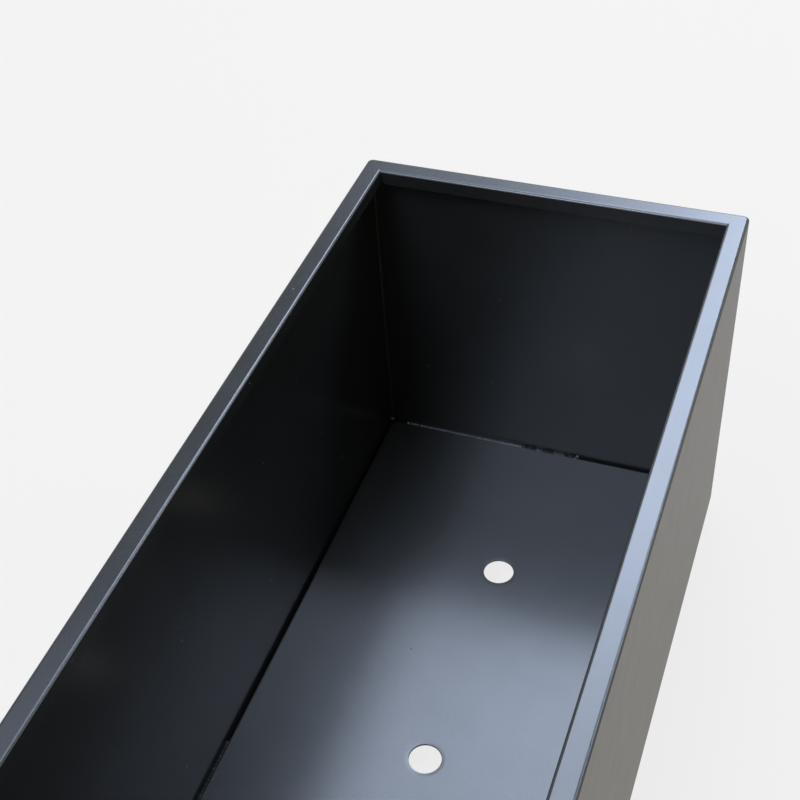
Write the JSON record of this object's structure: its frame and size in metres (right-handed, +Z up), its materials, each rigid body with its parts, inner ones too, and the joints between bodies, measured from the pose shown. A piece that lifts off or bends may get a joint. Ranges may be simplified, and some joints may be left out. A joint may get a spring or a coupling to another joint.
{
  "type": "planter trough",
  "caption": "Long rectangular planter trough of folded black sheet steel with inward rim and lip, raised floor with drain holes, and levelling feet.",
  "frame": {"origin": "centre of the footprint, on the surface that the pads stand on", "axes": "+Z up, +Y along the length towards the far end of the picture, +X to the picture's right"},
  "size_m": [0.4, 0.9, 0.413],
  "materials": {
    "powder_coated_steel": "semi-gloss black powder coat",
    "zinc_plated_steel": "zinc plated",
    "foot_plastic": "moulded black nylon"
  },
  "bodies": {
    "planter": {"long_wall_left": "powder_coated_steel", "long_wall_right": "powder_coated_steel", "end_wall_far": "powder_coated_steel", "end_wall_near": "powder_coated_steel", "floor_pan": "powder_coated_steel", "floor_bearer_far": "powder_coated_steel", "floor_bearer_near": "powder_coated_steel", "floor_bearer_middle_1": "powder_coated_steel", "floor_bearer_middle_2": "powder_coated_steel", "corner_welds": "powder_coated_steel", "floor_welds": "powder_coated_steel", "weld_nut_far_left": "zinc_plated_steel", "weld_nut_far_right": "zinc_plated_steel", "weld_nut_near_left": "zinc_plated_steel", "weld_nut_near_right": "zinc_plated_steel", "lock_nut_far_left": "zinc_plated_steel", "lock_nut_far_right": "zinc_plated_steel", "lock_nut_near_left": "zinc_plated_steel", "lock_nut_near_right": "zinc_plated_steel"},
    "pad_far_left": {"foot_pad_far_left": "foot_plastic"},
    "stud_far_left": {"foot_stud_far_left": "zinc_plated_steel"},
    "pad_far_right": {"foot_pad_far_right": "foot_plastic"},
    "stud_far_right": {"foot_stud_far_right": "zinc_plated_steel"},
    "pad_near_left": {"foot_pad_near_left": "foot_plastic"},
    "stud_near_left": {"foot_stud_near_left": "zinc_plated_steel"},
    "pad_near_right": {"foot_pad_near_right": "foot_plastic"},
    "stud_near_right": {"foot_stud_near_right": "zinc_plated_steel"}
  },
  "joints": [
    {"name": "foot_travel_far_left", "type": "slide", "parent": "planter", "child": "pad_far_left", "axis": [0, 0, -1], "range_m": [0, 0.0101]},
    {"name": "foot_turn_far_left", "type": "hinge", "parent": "pad_far_left", "child": "stud_far_left", "pos_m": [-0.15, 0.375, 0.013], "axis": [0, 0, -1], "range_deg": [0, 2880]},
    {"name": "foot_travel_far_right", "type": "slide", "parent": "planter", "child": "pad_far_right", "axis": [0, 0, -1], "range_m": [0, 0.0101]},
    {"name": "foot_turn_far_right", "type": "hinge", "parent": "pad_far_right", "child": "stud_far_right", "pos_m": [0.15, 0.375, 0.013], "axis": [0, 0, -1], "range_deg": [0, 2880]},
    {"name": "foot_travel_near_left", "type": "slide", "parent": "planter", "child": "pad_near_left", "axis": [0, 0, -1], "range_m": [0, 0.0101]},
    {"name": "foot_turn_near_left", "type": "hinge", "parent": "pad_near_left", "child": "stud_near_left", "pos_m": [-0.15, -0.375, 0.013], "axis": [0, 0, -1], "range_deg": [0, 2880]},
    {"name": "foot_travel_near_right", "type": "slide", "parent": "planter", "child": "pad_near_right", "axis": [0, 0, -1], "range_m": [0, 0.0101]},
    {"name": "foot_turn_near_right", "type": "hinge", "parent": "pad_near_right", "child": "stud_near_right", "pos_m": [0.15, -0.375, 0.013], "axis": [0, 0, -1], "range_deg": [0, 2880]}
  ],
  "couplings": [
    {"joint": "foot_travel_far_left", "follows": "foot_turn_far_left", "m_per_rad": 0.00019894},
    {"joint": "foot_travel_far_right", "follows": "foot_turn_far_right", "m_per_rad": 0.00019894},
    {"joint": "foot_travel_near_left", "follows": "foot_turn_near_left", "m_per_rad": 0.00019894},
    {"joint": "foot_travel_near_right", "follows": "foot_turn_near_right", "m_per_rad": 0.00019894}
  ]
}
